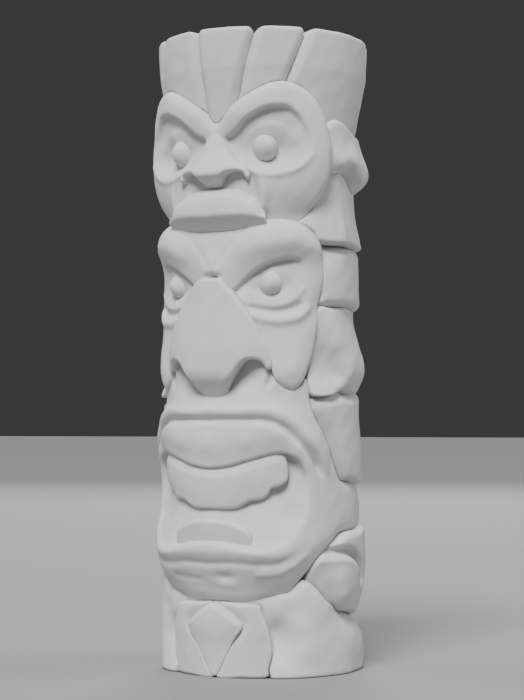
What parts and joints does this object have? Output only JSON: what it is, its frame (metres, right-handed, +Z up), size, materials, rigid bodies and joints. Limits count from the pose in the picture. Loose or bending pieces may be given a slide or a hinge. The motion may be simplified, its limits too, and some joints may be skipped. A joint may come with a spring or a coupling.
{
  "type": "tiki figure",
  "caption": "Free-standing carved totem figure: two stacked grimacing masks under a flared crown, on a round base with a bow.",
  "frame": {"origin": "centre of the round foot, on the surface that the figure stands on", "axes": "+Z up along the log; the figure faces -Y; +X is the figure's own left"},
  "size_m": [0.168, 0.176, 0.5],
  "materials": {
    "carved_block": "matt pale grey, smooth-sanded and undecorated",
    "log": "matt pale grey, smooth-hewn",
    "eye": "matt pale grey, smooth-sanded",
    "teeth": "matt pale grey, smooth-sanded",
    "dowel": "plain turned"
  },
  "bodies": {
    "root": {"core_log": "log", "base_collar": "carved_block", "bow_kite": "carved_block", "bow_leaf_left": "carved_block", "bow_leaf_right": "carved_block", "upper_mask": "carved_block", "upper_nose": "carved_block", "upper_lip": "carved_block", "lower_mask": "carved_block", "lower_nose": "carved_block", "mouth_block": "carved_block", "teeth": "teeth", "tongue": "carved_block", "upper_eye_left": "eye", "upper_eye_right": "eye", "lower_eye_left": "eye", "lower_eye_right": "eye", "crown_stave_1": "carved_block", "crown_stave_2": "carved_block", "crown_stave_3": "carved_block", "crown_stave_4": "carved_block", "crown_stave_5": "carved_block", "crown_stave_6": "carved_block", "crown_stave_7": "carved_block", "crown_stave_8": "carved_block", "crown_stave_9": "carved_block", "upper_ear_left": "carved_block", "upper_ear_right": "carved_block", "upper_hair_left": "carved_block", "upper_hair_right": "carved_block", "temple_block_left": "carved_block", "temple_block_right": "carved_block", "ear_lobe_left": "carved_block", "ear_lobe_right": "carved_block", "jaw_flare_left": "carved_block", "jaw_flare_right": "carved_block", "side_knot_left": "carved_block", "side_knot_right": "carved_block", "crown_dowels": "dowel", "upper_face_dowels": "dowel", "lower_face_dowels": "dowel", "jaw_dowels": "dowel", "collar_dowels": "dowel"}
  },
  "joints": []
}
